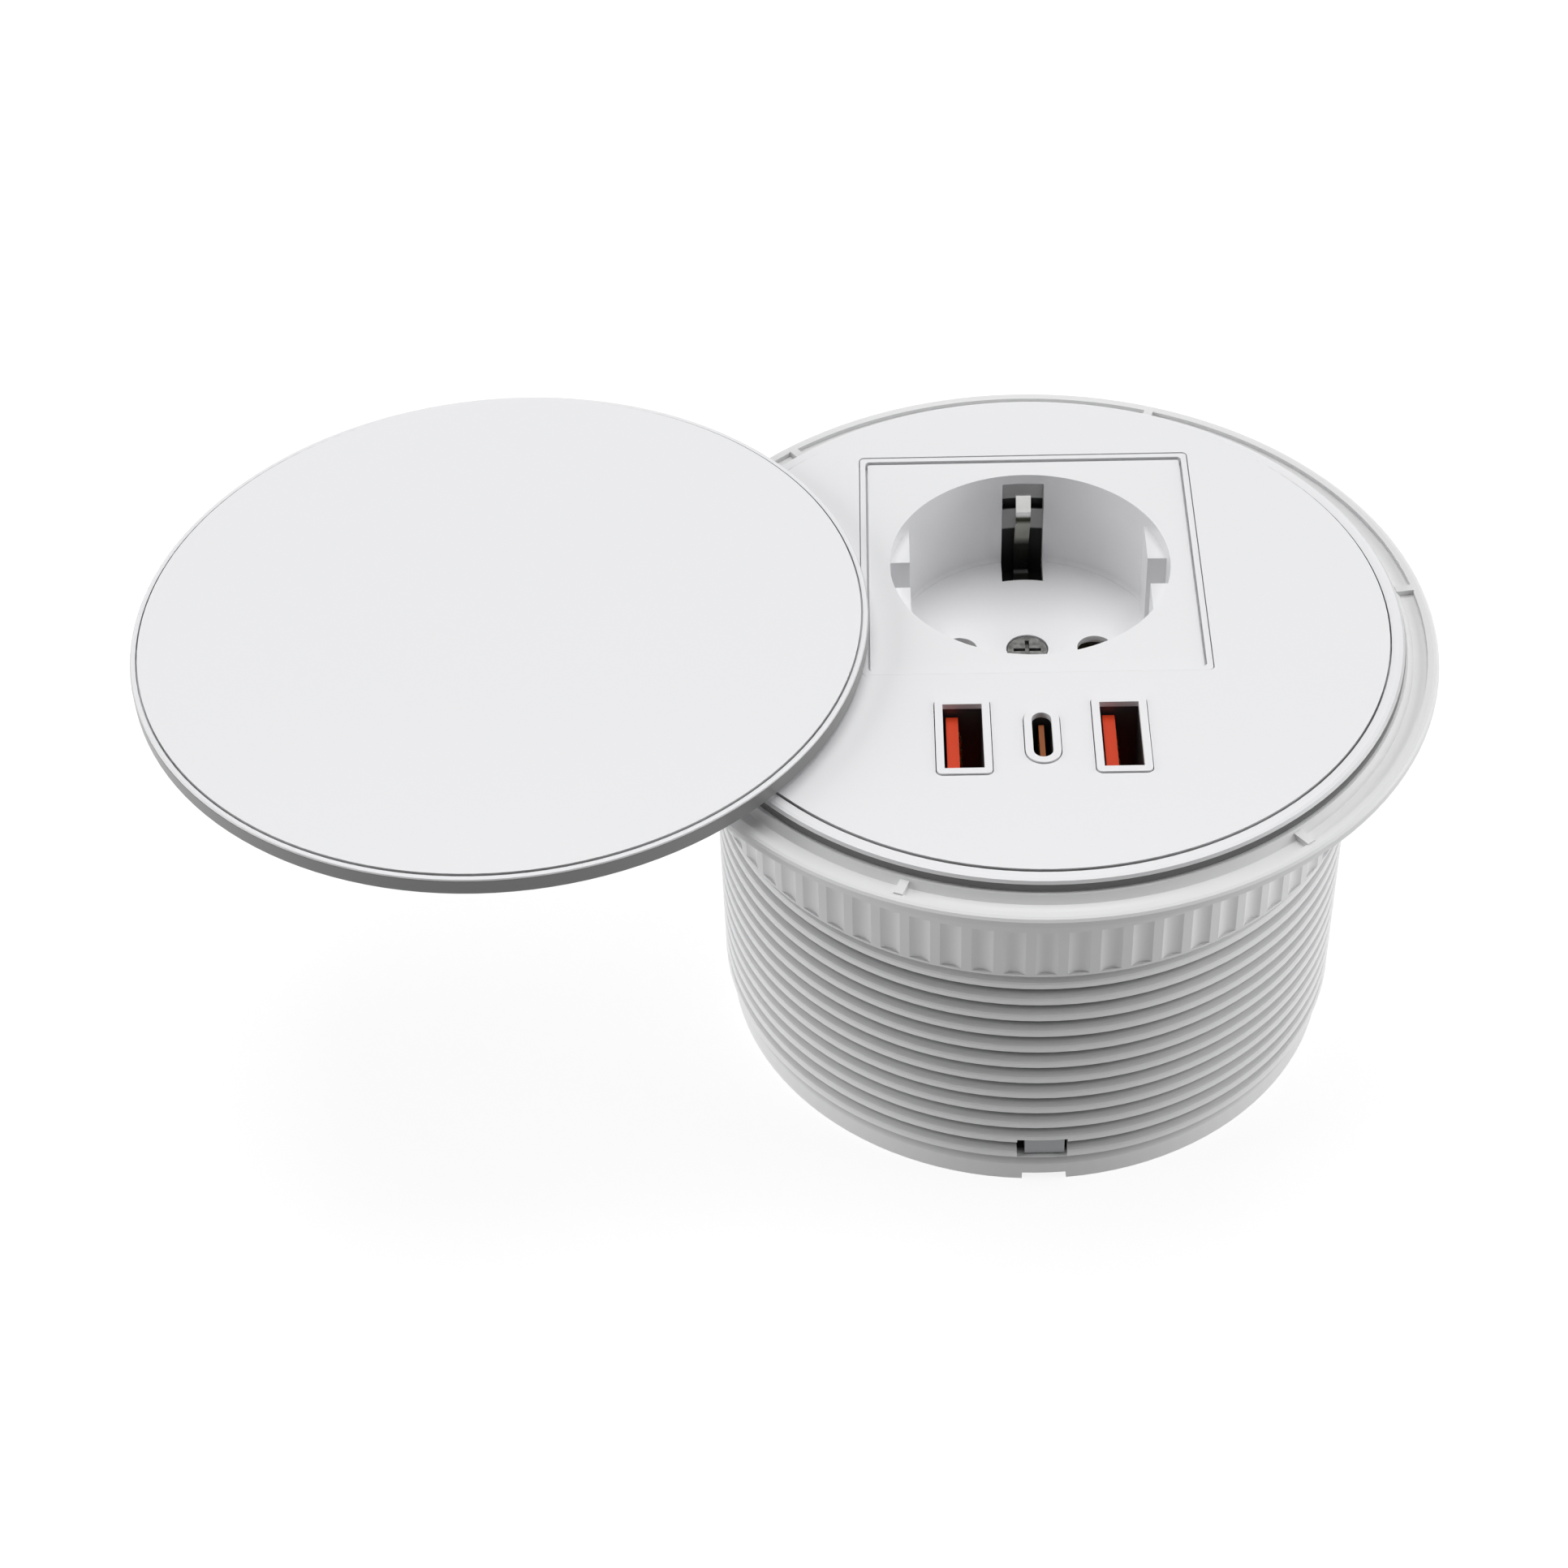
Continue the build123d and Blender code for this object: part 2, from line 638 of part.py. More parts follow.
def contact(side):
    """Split sleeve that grips a plug pin, with a tail to its screw terminal."""
    x = side * PIN_PITCH / 2
    plane = socket_plane(sleeve_bottom)
    terminal_bottom = TERMINAL_TOP - TERMINAL
    with BuildPart() as piece:
        with BuildSketch(plane):
            with Locations((x, 0)):
                Circle(SLEEVE_R)
                Circle(SLEEVE_BORE_R, mode=Mode.SUBTRACT)
                Rectangle(2.4 * SLEEVE_R, SLEEVE_SLIT, mode=Mode.SUBTRACT)
        extrude(amount=SLEEVE_L)
        with BuildSketch(plane):
            with Locations((x, TERMINAL_Y / 2)):
                Rectangle(TAIL_W, abs(TERMINAL_Y) + 2 * SLEEVE_R)
        extrude(amount=-TAIL_T)
        with BuildSketch(socket_plane(terminal_bottom)):
            with Locations((x, TERMINAL_Y)):
                Rectangle(TERMINAL, TERMINAL)
        extrude(amount=TERMINAL)
        with BuildSketch(socket_plane(terminal_bottom)):
            with Locations((x, TERMINAL_Y)):
                Circle(SCREW_R + FIT)
        extrude(amount=TERMINAL, mode=Mode.SUBTRACT)
        wire_z = TERMINAL_TOP - TERMINAL / 3
        with Locations(Location((x, SOCKET_Y + TERMINAL_Y, wire_z), (90, 0, 0))):
            Cylinder(TERMINAL_WIRE_R, TERMINAL + STRAP_T, mode=Mode.SUBTRACT)
    return piece.part


finish(contact(-1), "neutral_contact")
finish(contact(1), "live_contact")

terminal_xs = (-PIN_PITCH / 2, 0.0, PIN_PITCH / 2)

with BuildPart() as terminal_screws:
    for terminal_x in terminal_xs:
        with Locations((terminal_x, SOCKET_Y + TERMINAL_Y, TERMINAL_TOP - TERMINAL - FIT)):
            Cylinder(SCREW_HEAD_R, SCREW_HEAD_H, align=(Align.CENTER, Align.CENTER, Align.MAX))
            Cylinder(
                SCREW_R, TERMINAL - TERMINAL / 3, align=(Align.CENTER, Align.CENTER, Align.MIN)
            )
finish(terminal_screws.part, "terminal_screws")

carrier_floor = well_bottom - FIT

with BuildPart() as socket_base:
    with BuildSketch(socket_plane(BASE_BOTTOM)):
        Circle(BASE_R)
    extrude(amount=web_bottom - BASE_BOTTOM)
    with BuildSketch(socket_plane(carrier_floor)):
        Circle(BASE_R - BASE_WALL)
    extrude(amount=web_bottom - carrier_floor, mode=Mode.SUBTRACT)
    with BuildSketch(socket_plane(SLOT_GROOVE_TOP)):
        Rectangle(SLOT_W, 2 * (BASE_R - BASE_WALL + SLOT_GROOVE_D))
    extrude(amount=-SLOT_GROOVE_H, mode=Mode.SUBTRACT)
    with BuildSketch(socket_plane(carrier_floor)):
        Rectangle(STRAP_W + 2 * POCKET_GAP, 2 * (BASE_R - BASE_WALL))
        Circle(BASE_R - BASE_WALL, mode=Mode.INTERSECT)
    extrude(amount=strap_bottom - POCKET_GAP - carrier_floor, mode=Mode.SUBTRACT)
    with BuildSketch(socket_plane(carrier_floor)):
        with Locations((-PIN_PITCH / 2, 0), (PIN_PITCH / 2, 0)):
            Circle(SLEEVE_R + POCKET_GAP)
    extrude(amount=sleeve_bottom - carrier_floor, mode=Mode.SUBTRACT)
    with BuildSketch(socket_plane(BASE_BOTTOM)):
        for terminal_x in terminal_xs:
            with Locations((terminal_x, TERMINAL_Y)):
                Rectangle(TERMINAL + 2 * POCKET_GAP, TERMINAL + 2 * POCKET_GAP)
    extrude(amount=TERMINAL_TOP + POCKET_GAP - BASE_BOTTOM, mode=Mode.SUBTRACT)
    with BuildSketch(socket_plane(TERMINAL_TOP)):
        with Locations((0, TERMINAL_Y)):
            Rectangle(TERMINAL + 2 * POCKET_GAP, TERMINAL + 2 * POCKET_GAP)
    extrude(amount=strap_bottom - TERMINAL_TOP, mode=Mode.SUBTRACT)
    with BuildSketch(socket_plane(sleeve_bottom)):
        for side in (-1, 1):
            with Locations((side * PIN_PITCH / 2, TERMINAL_Y / 2)):
                Rectangle(TAIL_W + 2 * POCKET_GAP, abs(TERMINAL_Y) + 2 * SLEEVE_R + POCKET_GAP)
    extrude(amount=-(TAIL_T + POCKET_GAP), mode=Mode.SUBTRACT)
    with BuildSketch(socket_plane(carrier_floor)):
        Circle(SCREW_R + FIT)
    extrude(amount=-CENTRE_SCREW_L, mode=Mode.SUBTRACT)
finish(socket_base.part, "socket_base")


# Charging ports: white bezel, board, steel shells and their coloured contact blades
def port_a_outline(grow):
    """Rectangular port, wider by grow all round."""
    Rectangle(PORT_A_W + 2 * grow, PORT_A_L + 2 * grow)


def port_c_outline(grow):
    """Oval port, wider by grow all round."""
    SlotOverall(PORT_C_L + 2 * grow, PORT_C_W + 2 * grow, rotation=90)


ports = (
    ("usb_a", "_left", -PORT_PITCH, port_a_outline),
    ("usb_c", "", 0.0, port_c_outline),
    ("usb_a", "_right", PORT_PITCH, port_a_outline),
)
shell_top = port_top - COLLAR_LIP

with BuildPart() as usb_bezel:
    with BuildSketch(port_plane(bezel_bottom)):
        Rectangle(BEZEL_W, BEZEL_L)
    extrude(amount=BEZEL_T)
    with BuildSketch(port_plane(web_bottom)):
        bezel_openings(0.0)
    extrude(amount=port_top - web_bottom)
    for kind, place, port_x, outline in ports:
        with BuildSketch(port_plane(bezel_bottom, port_x)):
            outline(SHELL_T + FIT)
        extrude(amount=shell_top - bezel_bottom, mode=Mode.SUBTRACT)
        with BuildSketch(port_plane(shell_top, port_x)):
            outline(0.0)
        extrude(amount=COLLAR_LIP, mode=Mode.SUBTRACT)
finish(usb_bezel.part, "usb_bezel")

with BuildPart() as port_board:
    with BuildSketch(Plane.XY.offset(PORT_BOARD_Z)):
        with Locations((0, PORT_BOARD_Y)):
            Rectangle(BEZEL_W, PORT_BOARD_L)
    extrude(amount=BOARD_T)
finish(port_board.part, "port_board")


def port_shell(x, outline):
    """Steel shell of one port, a tube that stands on the board."""
    with BuildPart() as piece:
        with BuildSketch(port_plane(port_board_top, x)):
            outline(SHELL_T)
        extrude(amount=shell_top - FIT - port_board_top)
        with BuildSketch(port_plane(port_board_top, x)):
            outline(0.0)
        extrude(amount=shell_top - port_board_top, mode=Mode.SUBTRACT)
    return piece.part


def port_blade(x, outline, blade_x, thickness, length, drop):
    """Moulded core at the foot of a shell and the contact blade that stands on it."""
    with BuildPart() as piece:
        with BuildSketch(port_plane(port_board_top, x)):
            outline(-CORE_GAP)
        extrude(amount=CORE_H)
        with BuildSketch(port_plane(port_board_top + CORE_H, x + blade_x)):
            Rectangle(thickness, length)
        extrude(amount=port_top - drop - port_board_top - CORE_H)
    return piece.part


for kind, place, port_x, outline in ports:
    finish(port_shell(port_x, outline), kind + "_shell" + place)
    if kind == "usb_a":
        blade = port_blade(port_x, outline, BLADE_A_X, BLADE_A_T, BLADE_A_L, BLADE_A_DROP)
    else:
        blade = port_blade(port_x, outline, 0.0, BLADE_C_T, BLADE_C_L, BLADE_C_DROP)
    finish(blade, kind + "_tongue" + place)


# Power board: upright in the head's rails, behind the port board
power_board_top = PORT_BOARD_Z - POWER_BOARD_GAP
power_front = POWER_BOARD_Y
power_height = power_board_top - POWER_BOARD_BOTTOM
power_middle = (power_board_top + POWER_BOARD_BOTTOM) / 2

with BuildPart() as power_board:
    with Locations((0, power_front, power_middle)):
        Box(
            POWER_BOARD_W, BOARD_T, power_height,
            align=(Align.CENTER, Align.MIN, Align.CENTER),
        )
finish(power_board.part, "power_board")

with BuildPart() as link_pins:
    for index in range(LINK_PIN_COUNT):
        pin_x = (index - (LINK_PIN_COUNT - 1) / 2) * LINK_PIN_PITCH
        pin_y = power_front - 2 * LINK_PIN_W
        with Locations((pin_x, pin_y, PORT_BOARD_Z)):
            Box(
                LINK_PIN_W, LINK_PIN_W, LINK_PIN_DROP,
                align=(Align.CENTER, Align.CENTER, Align.MAX),
            )
        with Locations((pin_x, pin_y, PORT_BOARD_Z - LINK_PIN_DROP)):
            Box(
                LINK_PIN_W, 2 * LINK_PIN_W, LINK_PIN_W,
                align=(Align.CENTER, Align.MIN, Align.MIN),
            )
finish(link_pins.part, "link_pins")

mains_x = MAINS_CAP_INSET - POWER_BOARD_W / 2
transformer_w, transformer_d, transformer_h = TRANSFORMER
transformer_x = mains_x + MAINS_CAP_R + PART_GAP + transformer_w / 2

with BuildPart() as transformer:
    with Locations((transformer_x, power_front, TRANSFORMER_Z)):
        Box(
            transformer_w, transformer_d, transformer_h - 2 * CORE_LEG,
            align=(Align.CENTER, Align.MAX, Align.CENTER),
        )
        Box(
            transformer_w - 2 * CORE_LEG, transformer_d - CORE_LEG / 2, transformer_h,
            align=(Align.CENTER, Align.MAX, Align.CENTER),
        )
finish(transformer.part, "transformer")


def can_capacitor(radius, length, x, z):
    """Round capacitor lying across the power board, with its rolled neck."""
    neck = radius / 4
    with Locations(Location((x, power_front, z), (90, 0, 0))):
        Cylinder(radius, length, align=(Align.CENTER, Align.CENTER, Align.MIN))
    with Locations(Location((x, power_front - neck, z), (90, 0, 0))):
        Torus(radius + neck / 4, neck / 2, mode=Mode.SUBTRACT)


with BuildPart() as mains_capacitor:
    can_capacitor(MAINS_CAP_R, MAINS_CAP_L, mains_x, MAINS_CAP_Z)
finish(mains_capacitor.part, "mains_capacitor")

with BuildPart() as output_capacitors:
    for level in (-1, 1):
        can_z = OUTPUT_CAP_Z + level * OUTPUT_CAP_PITCH / 2
        output_x = POWER_BOARD_W / 2 - OUTPUT_CAP_INSET
        can_capacitor(OUTPUT_CAP_R, OUTPUT_CAP_L, output_x, can_z)
finish(output_capacitors.part, "output_capacitors")


# Cover: moulded shell, inlay plate, and the pin it swivels on
def cover_outline():
    """Half section of the cover shell, with a shallow seat for the inlay plate."""
    seat_r = inlay_r + SEAM
    shell_rim = cover_top - INLAY_PROUD
    return [
        (seat_r, shell_rim), (seat_r, inlay_bottom), (0, inlay_bottom), (0, cover_bottom),
        *reversed(edge_round(cover_r, cover_bottom, COVER_FOOT_ROUND, -1)),
        *edge_round(cover_r, shell_rim, COVER_ROUND, 1),
    ]


cover_xz = Plane((*cover_centre, 0), x_dir=(1, 0, 0), z_dir=(0, -1, 0))
pin_top = inlay_bottom - FIT
pin_seat = pin_top - PIN_HEAD_T

with BuildPart() as cover_shell:
    with BuildSketch(cover_xz):
        with BuildLine():
            Polyline(*cover_outline(), close=True)
        make_face()
    revolve(axis=Axis((cover_centre[0], cover_centre[1], 0), (0, 0, 1)))
    with BuildSketch(pivot_plane(pin_seat)):
        Circle(PIN_HEAD_R + FIT)
    extrude(amount=inlay_bottom - pin_seat, mode=Mode.SUBTRACT)
    with BuildSketch(pivot_plane(cover_bottom)):
        Circle(PIN_R + FIT)
    extrude(amount=COVER_H, mode=Mode.SUBTRACT)
finish(cover_shell.part, "cover_shell")

with BuildPart() as cover_plate:
    with BuildSketch(cover_plane(inlay_bottom)):
        Circle(inlay_r)
    extrude(amount=INLAY_T)
finish(cover_plate.part, "cover_plate")

spring_top = BUSH_BOTTOM - SPRING_GAP
lock_nut_top = spring_top - SPRING_H
lock_nut_bottom = lock_nut_top - LOCK_NUT_H
pin_bottom = lock_nut_bottom - PIN_END

with BuildPart() as pivot_pin:
    with BuildSketch(pivot_plane(pin_seat)):
        Circle(PIN_HEAD_R)
    extrude(amount=PIN_HEAD_T)
    with BuildSketch(pivot_plane(pin_bottom)):
        Circle(PIN_R)
    extrude(amount=pin_seat - pin_bottom)
finish(pivot_pin.part, "pivot_pin")

with BuildPart() as pivot_washer:
    with BuildSketch(pivot_plane(HEAD_TOP + WASHER_GAP)):
        Circle(WASHER_R)
        Circle(PIN_R + FIT, mode=Mode.SUBTRACT)
    extrude(amount=COVER_GAP - WASHER_GAP)
finish(pivot_washer.part, "pivot_washer")

with BuildPart() as pivot_bush:
    with BuildSketch(pivot_plane(BUSH_BOTTOM)):
        Circle(BUSH_R)
        Circle(PIN_R + FIT, mode=Mode.SUBTRACT)
    extrude(amount=HEAD_TOP - FIT - BUSH_BOTTOM)
finish(pivot_bush.part, "pivot_bush")

pivot_xz = Plane((pivot_x, 0, 0), x_dir=(1, 0, 0), z_dir=(0, -1, 0))

with BuildPart() as spring_washer:
    with BuildSketch(pivot_xz):
        with BuildLine():
            Polyline(
                (PIN_R + FIT, spring_top), (SPRING_R, spring_top - SPRING_H + SPRING_T),
                (SPRING_R, spring_top - SPRING_H), (PIN_R + FIT, spring_top - SPRING_T),
                close=True,
            )
        make_face()
    revolve(axis=Axis((pivot_x, 0, 0), (0, 0, 1)))
finish(spring_washer.part, "spring_washer")

with BuildPart() as pivot_nut:
    with BuildSketch(pivot_plane(lock_nut_bottom)):
        RegularPolygon(LOCK_NUT_AF / 2, 6, major_radius=False)
        Circle(PIN_R + FIT, mode=Mode.SUBTRACT)
    extrude(amount=LOCK_NUT_H)
finish(pivot_nut.part, "pivot_nut")


# Bottom cap: closes the barrel, snaps in its windows and holds the cord inlet
hook_z = WINDOW_Z
tongue_top = cap_top + CAP_RING_H
clamp_face = INLET_Y + CORD_R
clamp_z = cap_top + TOWER_H - CLAMP_H / 2

with BuildPart() as bottom_cap:
    with BuildSketch(Plane.XY.offset(cap_bottom)):
        Circle(cap_r)
    extrude(amount=CAP_T)
    with BuildSketch(Plane.XY.offset(cap_top)):
        Circle(cap_r)
        Circle(cap_r - CAP_RING_T, mode=Mode.SUBTRACT)
    extrude(amount=CAP_RING_H)
    with PolarLocations(cap_r - CAP_RING_T / 2, WINDOW_COUNT, start_angle=WINDOW_ANGLE):
        for side in (-1, 1):
            with Locations((0, side * (WINDOW_W + TONGUE_SLIT) / 2, tongue_top - TONGUE_H / 2)):
                Box(2 * CAP_RING_T, TONGUE_SLIT, TONGUE_H, mode=Mode.SUBTRACT)
    with PolarLocations(0, WINDOW_COUNT, start_angle=WINDOW_ANGLE):
        with Locations((hook_r, HOOK_SHIFT, hook_z)):
            Box(
                hook_r - cap_r + CAP_RING_T / 2, HOOK_W, WINDOW_H - 2 * HOOK_GAP,
                align=(Align.MAX, Align.CENTER, Align.CENTER),
            )
    with Locations((0, clamp_face + TOWER_T / 2, cap_top)):
        Box(TOWER_W, TOWER_T, TOWER_H, align=(Align.CENTER, Align.CENTER, Align.MIN))
    with Locations((0, INLET_Y, cap_top)):
        Cylinder(CORD_R + SLIP, 2 * TOWER_H + CAP_T, mode=Mode.SUBTRACT)
    with Locations((0, INLET_Y, cap_bottom)):
        Cylinder(
            INLET_R, CAP_T + 2 * GROMMET_FLANGE_T,
            align=(Align.CENTER, Align.CENTER, Align.MIN), mode=Mode.SUBTRACT,
        )
    for side in (-1, 1):
        with Locations(Location((side * CLAMP_SCREW_X, clamp_face, clamp_z), (90, 0, 0))):
            Cylinder(SCREW_R + FIT, 2 * TOWER_T + FIT, mode=Mode.SUBTRACT)
finish(bottom_cap.part, "bottom_cap")

grommet_foot = cap_bottom - CAP_INSET + FIT
grommet_top = cap_top + GROMMET_FLANGE_T

with BuildPart() as inlet_grommet:
    with BuildSketch(Plane.XY.offset(grommet_foot)):
        with Locations((0, INLET_Y)):
            Circle(GROMMET_FLANGE_R)
    extrude(amount=cap_bottom - grommet_foot)
    with BuildSketch(Plane.XY.offset(cap_bottom)):
        with Locations((0, INLET_Y)):
            Circle(INLET_R - FIT)
    extrude(amount=grommet_top - cap_bottom)
    with BuildSketch(Plane.XY.offset(grommet_foot)):
        with Locations((0, INLET_Y)):
            Circle(CORD_R)
    extrude(amount=grommet_top - grommet_foot, mode=Mode.SUBTRACT)
finish(inlet_grommet.part, "inlet_grommet")

clamp_front = INLET_Y - CORD_R - CLAMP_T / 2

with BuildPart() as cord_clamp:
    with Locations((0, clamp_front, clamp_z)):
        Box(TOWER_W, CLAMP_T, CLAMP_H, align=(Align.CENTER, Align.MIN, Align.CENTER))
        with Locations((0, INLET_Y - clamp_front, 0)):
            Cylinder(CORD_R + SLIP, 2 * CLAMP_H, mode=Mode.SUBTRACT)
        for side in (-1, 1):
            with Locations(Location((side * CLAMP_SCREW_X, 0, 0), (90, 0, 0))):
                Cylinder(SCREW_R + FIT, 4 * CLAMP_T, mode=Mode.SUBTRACT)
finish(cord_clamp.part, "cord_clamp")

with BuildPart() as clamp_screws:
    for side in (-1, 1):
        with Locations(Location((side * CLAMP_SCREW_X, clamp_front, clamp_z), (90, 0, 0))):
            Cylinder(SCREW_HEAD_R, SCREW_HEAD_H, align=(Align.CENTER, Align.CENTER, Align.MIN))
            Cylinder(SCREW_R, CLAMP_SCREW_L, align=(Align.CENTER, Align.CENTER, Align.MAX))
finish(clamp_screws.part, "clamp_screws")

os.makedirs("parts", exist_ok=True)
for node in nodes:
    export_step(node, "parts/" + node.label + ".step")
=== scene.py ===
import math

import bmesh
import bpy
from mathutils import Matrix, Vector


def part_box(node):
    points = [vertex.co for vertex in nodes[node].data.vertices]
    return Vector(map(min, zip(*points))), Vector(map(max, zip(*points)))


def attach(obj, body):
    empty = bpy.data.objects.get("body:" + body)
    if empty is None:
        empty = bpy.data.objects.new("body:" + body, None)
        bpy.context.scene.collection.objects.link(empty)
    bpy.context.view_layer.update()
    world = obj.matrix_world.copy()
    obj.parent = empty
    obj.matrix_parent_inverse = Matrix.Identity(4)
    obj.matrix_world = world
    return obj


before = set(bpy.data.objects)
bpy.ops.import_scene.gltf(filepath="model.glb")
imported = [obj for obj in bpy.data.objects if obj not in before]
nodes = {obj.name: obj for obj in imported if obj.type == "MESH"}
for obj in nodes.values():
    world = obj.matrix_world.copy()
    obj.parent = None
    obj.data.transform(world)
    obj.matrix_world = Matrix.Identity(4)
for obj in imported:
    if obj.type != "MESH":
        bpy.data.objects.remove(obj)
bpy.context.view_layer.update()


# Threaded barrel
# One moulding in white satin ABS with a very fine even grain: flange with a raised lip and six
# drip ribs, saw-tooth thread and three snap windows. The thread's gaps carry painted shade.
def clouded(name, colour, shade, clouds, detail, smooth, dull):
    """New finish that drifts in clouds from colour to a shade of it, and from smooth to dull."""
    material = bpy.data.materials.new(name)
    material.use_nodes = True
    tree = material.node_tree
    shader = tree.nodes["Principled BSDF"]
    place = tree.nodes.new("ShaderNodeTexCoord")
    cloud = tree.nodes.new("ShaderNodeTexNoise")
    cloud.inputs["Scale"].default_value = clouds
    cloud.inputs["Detail"].default_value = detail
    tree.links.new(place.outputs["Object"], cloud.inputs["Vector"])
    tint = tree.nodes.new("ShaderNodeMix")
    tint.data_type = "RGBA"
    tint.inputs["A"].default_value = (*colour, 1.0)
    tint.inputs["B"].default_value = (*(c * shade for c in colour), 1.0)
    tree.links.new(cloud.outputs["Fac"], tint.inputs["Factor"])
    tree.links.new(tint.outputs["Result"], shader.inputs["Base Color"])
    gloss = tree.nodes.new("ShaderNodeMapRange")
    gloss.inputs["To Min"].default_value = smooth
    gloss.inputs["To Max"].default_value = dull
    tree.links.new(cloud.outputs["Fac"], gloss.inputs["Value"])
    tree.links.new(gloss.outputs["Result"], shader.inputs["Roughness"])
    return material


def moulded(name, colour, shade, roughness, grain, depth, specular=0.5):
    """Moulded plastic with a fine grain of that size and depth in metres."""
    uneven = 0.03
    material = clouded(
        name, colour, shade, clouds=47.0, detail=3.0, smooth=roughness - uneven,
        dull=roughness + uneven,
    )
    tree = material.node_tree
    shader = tree.nodes["Principled BSDF"]
    shader.inputs["IOR"].default_value = 1.53
    shader.inputs["Specular IOR Level"].default_value = specular
    place = tree.nodes.new("ShaderNodeTexCoord")
    spark = tree.nodes.new("ShaderNodeTexNoise")
    spark.inputs["Scale"].default_value = 1.0 / grain
    spark.inputs["Detail"].default_value = 2.0
    tree.links.new(place.outputs["Object"], spark.inputs["Vector"])
    bump = tree.nodes.new("ShaderNodeBump")
    bump.inputs["Distance"].default_value = depth
    bump.inputs["Strength"].default_value = 0.5
    tree.links.new(spark.outputs["Fac"], bump.inputs["Height"])
    tree.links.new(bump.outputs["Normal"], shader.inputs["Normal"])
    return material


def dress(material, *names):
    """Gives these pieces that finish."""
    for name in names:
        nodes[name].data.materials.clear()
        nodes[name].data.materials.append(material)


def split(tree, output):
    """X, Y and Z of a texture coordinate."""
    place = tree.nodes.new("ShaderNodeTexCoord")
    parts = tree.nodes.new("ShaderNodeSeparateXYZ")
    tree.links.new(place.outputs[output], parts.inputs["Vector"])
    return parts.outputs


def painted_shade(material, grey, unshaded):
    """Paints shade into a finish's colour: grey where the given factor is 0, none where it is 1.
    """
    tree = material.node_tree
    colour = tree.nodes["Principled BSDF"].inputs["Base Color"]
    tone = tree.nodes.new("ShaderNodeMix")
    tone.data_type = "RGBA"
    tone.inputs["A"].default_value = (grey, grey, grey, 1.0)
    tree.links.new(unshaded, tone.inputs["Factor"])
    tree.links.new(colour.links[0].from_socket, tone.inputs["B"])
    tree.links.new(tone.outputs["Result"], colour)
    return material


def painted_depth_shade(material, grey, centre_y, dark_r, unshaded_r):
    """Paints shade into a moulding's colour, grey towards the first radius and none at the second.
    """
    tree = material.node_tree
    point = split(tree, "Object")
    ahead = tree.nodes.new("ShaderNodeMath")
    ahead.operation = "SUBTRACT"
    ahead.inputs[1].default_value = centre_y
    tree.links.new(point["Y"], ahead.inputs[0])
    level = tree.nodes.new("ShaderNodeCombineXYZ")
    tree.links.new(point["X"], level.inputs["X"])
    tree.links.new(ahead.outputs["Value"], level.inputs["Y"])
    radius = tree.nodes.new("ShaderNodeVectorMath")
    radius.operation = "LENGTH"
    tree.links.new(level.outputs["Vector"], radius.inputs[0])
    turn = tree.nodes.new("ShaderNodeMapRange")
    turn.inputs["From Min"].default_value = dark_r
    turn.inputs["From Max"].default_value = unshaded_r
    tree.links.new(radius.outputs["Value"], turn.inputs["Value"])
    return painted_shade(material, grey, turn.outputs["Result"])


def banded(material, *stops):
    """Tints a finish by height. Each stop is a height in metres and its tint, lowest first."""
    tree = material.node_tree
    colour = tree.nodes["Principled BSDF"].inputs["Base Color"]
    low, high = stops[0][0], stops[-1][0]
    height = tree.nodes.new("ShaderNodeMapRange")
    height.inputs["From Min"].default_value = low
    height.inputs["From Max"].default_value = high
    tree.links.new(split(tree, "Object")["Z"], height.inputs["Value"])
    ramp = tree.nodes.new("ShaderNodeValToRGB")
    marks = ramp.color_ramp.elements
    marks[0].color = (*stops[0][1], 1.0)
    marks[1].color = (*stops[-1][1], 1.0)
    for level, tint in stops[1:-1]:
        marks.new((level - low) / (high - low)).color = (*tint, 1.0)
    tree.links.new(height.outputs["Result"], ramp.inputs["Fac"])
    tone = tree.nodes.new("ShaderNodeMix")
    tone.data_type = "RGBA"
    tone.blend_type = "MULTIPLY"
    tone.inputs["Factor"].default_value = 1.0
    tree.links.new(colour.links[0].from_socket, tone.inputs["A"])
    tree.links.new(ramp.outputs["Color"], tone.inputs["B"])
    tree.links.new(tone.outputs["Result"], colour)
    return material


untinted = (1.0, 1.0, 1.0)
flange_tint = (0.86, 0.86, 0.86)
barrel_foot_z, tube_top_z, flange_z, barrel_top_z = -0.0602, -0.006, -0.004, 0.0027
satin = {
    "shade": 0.985, "roughness": 0.42, "grain": 0.00035, "depth": 0.00001, "specular": 0.3,
}
satin_abs = moulded("satin_abs", (0.785, 0.785, 0.79), **satin)
barrel_abs = moulded("barrel_abs", (0.89, 0.89, 0.895), **satin)
banded(
    barrel_abs, (barrel_foot_z, untinted), (tube_top_z, untinted), (flange_z, flange_tint),
    (barrel_top_z, flange_tint),
)
# Painted shade: grey towards the thread's root, none at its crest
painted_depth_shade(barrel_abs, grey=0.04, centre_y=0.0, dark_r=0.0422, unshaded_r=0.0431)
dress(barrel_abs, "housing_barrel")

# Flange seal
# Thin ring of pale foamed rubber, die-cut and stuck under the flange. Its open cells show as
# fine pits.
seal_foam = moulded(
    "seal_foam", (0.66, 0.66, 0.67), shade=0.9, roughness=0.8, grain=0.0004, depth=0.00006,
)
dress(seal_foam, "flange_gasket")

# Ring nut and its washer
# White moulded ring with 68 flutes for the fingers. The plain washer lies loose on it and takes
# the rubbing against the worktop.
dress(satin_abs, "clamp_nut", "clamp_washer")
